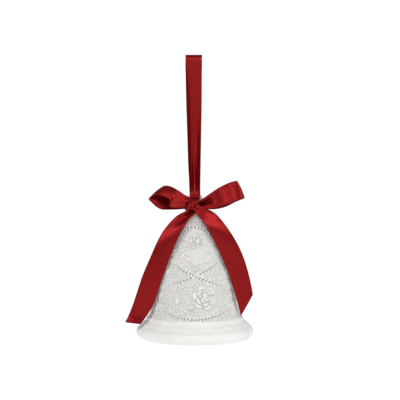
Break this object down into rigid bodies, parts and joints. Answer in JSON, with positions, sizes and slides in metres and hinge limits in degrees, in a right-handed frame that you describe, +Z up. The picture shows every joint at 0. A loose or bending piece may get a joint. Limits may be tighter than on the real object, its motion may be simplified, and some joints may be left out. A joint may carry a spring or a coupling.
{
  "type": "christmas bell ornament",
  "caption": "Matte white porcelain bell ornament with moulded relief, crown loop and hanging clapper, on a red satin ribbon tied in a bow.",
  "frame": {"origin": "underside of the fold at the top of the ribbon loop, where a hook carries the ornament", "axes": "+Z up along the ribbon and the bell's axis, -Y towards the front, where the bow is, +X to the right seen from the front"},
  "size_m": [0.0759, 0.07, 0.1695],
  "materials": {
    "bisque_porcelain": "unglazed, matte, moulded relief",
    "red_satin": "satin weave with a soft lengthwise sheen",
    "brass_wire": "drawn wire, slightly dull"
  },
  "bodies": {
    "hanger": {"hanging_loop": "red_satin"},
    "neck": {"strand_front": "red_satin", "strand_back": "red_satin"},
    "bell": {"bell_shell": "bisque_porcelain", "crown_loop": "bisque_porcelain", "clapper_lug": "bisque_porcelain", "ribbon_throat": "red_satin", "bow_knot": "red_satin", "bow_loop_left": "red_satin", "bow_loop_right": "red_satin"},
    "tail_left": {"bow_tail_left": "red_satin"},
    "tail_right": {"bow_tail_right": "red_satin"},
    "link": {"clapper_link": "brass_wire"},
    "clapper": {"clapper_stem": "brass_wire", "clapper_ball": "bisque_porcelain", "stop_bead": "brass_wire"}
  },
  "joints": [
    {"name": "ribbon_twist", "type": "hinge", "parent": "hanger", "child": "neck", "pos_m": [0, 0, -0.0293], "axis": [0, 0, 1], "range_deg": [-90, 90]},
    {"name": "bell_swing", "type": "hinge", "parent": "neck", "child": "bell", "pos_m": [0, 0, -0.074], "axis": [1, 0, 0], "range_deg": [-30, 30]},
    {"name": "tail_left_lift", "type": "hinge", "parent": "bell", "child": "tail_left", "pos_m": [-0.00465, -0.0083, -0.0944], "axis": [-0.9211, 0.2803, 0.2703], "range_deg": [0, 40]},
    {"name": "tail_right_lift", "type": "hinge", "parent": "bell", "child": "tail_right", "pos_m": [0.0008, -0.0091, -0.0889], "axis": [-0.8601, -0.24, -0.4501], "range_deg": [0, 40]},
    {"name": "clapper_swing", "type": "hinge", "parent": "bell", "child": "link", "pos_m": [0, 0, -0.0995], "axis": [0, 1, 0], "range_deg": [-17, 17]},
    {"name": "clapper_sway", "type": "hinge", "parent": "link", "child": "clapper", "pos_m": [0, 0, -0.1025], "axis": [1, 0, 0], "range_deg": [-4.5, 4.5]}
  ]
}
